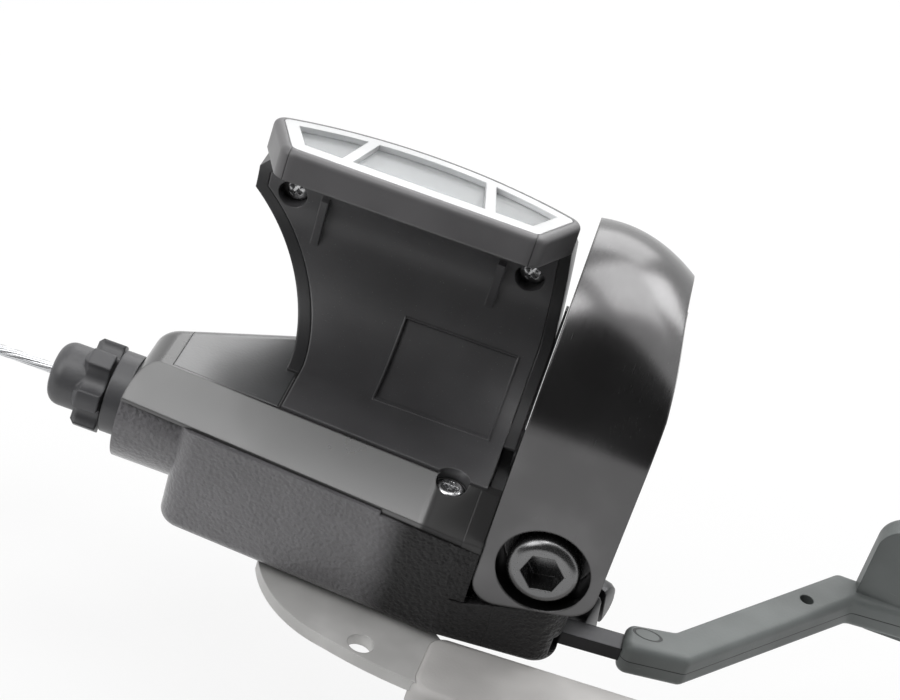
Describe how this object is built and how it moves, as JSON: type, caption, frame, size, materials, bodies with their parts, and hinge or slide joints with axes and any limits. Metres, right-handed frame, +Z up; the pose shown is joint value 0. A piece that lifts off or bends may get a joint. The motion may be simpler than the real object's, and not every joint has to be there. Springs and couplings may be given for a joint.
{
  "type": "trigger gear shifter",
  "caption": "handlebar trigger gear shifter with a split clamp band, thumb and finger levers, a cable drum with ratchet, a barrel adjuster and a gear display window",
  "frame": {"origin": "on the handlebar's axis, at the middle of the clamp band's bore", "axes": "+X along the handlebar, outboard; -Y towards the rider; +Z up through the gear display"},
  "size_m": [0.1409, 0.0406, 0.0641],
  "materials": {
    "black_plastic": "fine-grained black moulded plastic",
    "gloss_black_plastic": "smooth black moulded plastic",
    "black_aluminium": "satin black anodised aluminium",
    "black_steel": "black-oxide steel",
    "bright_steel": "zinc-plated steel",
    "tool_steel": "hardened steel, lightly oiled",
    "drum_plastic": "glass-filled dark grey plastic",
    "grey_steel": "grey satin steel plate",
    "grey_plastic": "warm grey moulded plastic",
    "dark_grey_plastic": "dark greenish grey moulded plastic",
    "silver_trim": "silver-painted trim",
    "clear_lens": "clear display window",
    "dial_face": "pale grey printed dial",
    "pointer_tone": "pale pointer",
    "cable_steel": "bright stranded steel wire"
  },
  "bodies": {
    "shifter_body": {"clamp_band": "black_aluminium", "clamp_bolt": "black_steel", "base_plate": "bright_steel", "bracket_screw": "bright_steel", "main_axle": "bright_steel", "axle_washer": "bright_steel", "axle_nut": "bright_steel", "holding_pin": "bright_steel", "lever_spring": "tool_steel", "release_pin": "bright_steel", "cable_hole_plug": "black_steel", "lower_cover": "black_plastic", "upper_cover": "gloss_black_plastic", "top_panel": "black_plastic", "cover_screw": "bright_steel", "rear_cover": "black_plastic", "saddle_plate": "black_plastic", "saddle_screw_inboard": "bright_steel", "saddle_screw_outboard": "bright_steel", "display_housing": "black_plastic", "display_dial": "dial_face", "display_lens": "clear_lens", "display_frame": "silver_trim", "adjuster_socket": "black_plastic", "inner_cable": "cable_steel", "cable_coil": "cable_steel", "coil_tie": "black_plastic"},
    "drum": {"cable_drum": "drum_plastic", "cable_nipple": "bright_steel", "ratchet_ring": "tool_steel"},
    "pointer": {"display_pointer": "pointer_tone"},
    "main_lever": {"lever_hub": "tool_steel", "main_lever_plate": "grey_steel", "main_lever_cap": "grey_plastic"},
    "feed_pawl_body": {"feed_pawl": "tool_steel"},
    "holding_pawl_body": {"holding_pawl": "tool_steel"},
    "release_lever": {"release_arm": "black_steel", "release_sleeve": "dark_grey_plastic"},
    "adjuster": {"adjuster_knob": "black_plastic"}
  },
  "joints": [
    {"name": "drum_turn", "type": "hinge", "parent": "shifter_body", "child": "drum", "pos_m": [-0.021, 0.0033, -0.02], "axis": [0, 0, 1], "range_deg": [0, 132]},
    {"name": "pointer_slide", "type": "slide", "parent": "shifter_body", "child": "pointer", "axis": [1, 0, 0], "range_m": [-0.0112, 0]},
    {"name": "main_lever_push", "type": "hinge", "parent": "shifter_body", "child": "main_lever", "pos_m": [-0.021, 0.0033, -0.02], "axis": [0, 0, 1], "range_deg": [0, 30], "stiffness_Nm_per_rad": 0.3, "springref_deg": -17.19},
    {"name": "feed_pawl_tilt", "type": "hinge", "parent": "main_lever", "child": "feed_pawl_body", "pos_m": [-0.02843, -0.00731, -0.0207], "axis": [0, 0, 1], "range_deg": [-8, 0], "stiffness_Nm_per_rad": 0.01, "springref_deg": 11.46},
    {"name": "holding_pawl_tilt", "type": "hinge", "parent": "shifter_body", "child": "holding_pawl_body", "pos_m": [-0.03317, -0.00113, -0.0207], "axis": [0, 0, 1], "range_deg": [-8, 0], "stiffness_Nm_per_rad": 0.01, "springref_deg": 11.46},
    {"name": "release_pull", "type": "hinge", "parent": "shifter_body", "child": "release_lever", "pos_m": [-0.0035, -0.0075, -0.0252], "axis": [0, 0, 1], "range_deg": [-10, 0], "stiffness_Nm_per_rad": 0.5, "springref_deg": 11.46},
    {"name": "adjuster_turn", "type": "hinge", "parent": "shifter_body", "child": "adjuster", "pos_m": [-0.05, -0.0056, -0.0185], "axis": [1, 0, 0], "continuous": true}
  ],
  "couplings": [
    {"joint": "pointer_slide", "follows": "drum_turn", "m_per_rad": -0.0046}
  ]
}
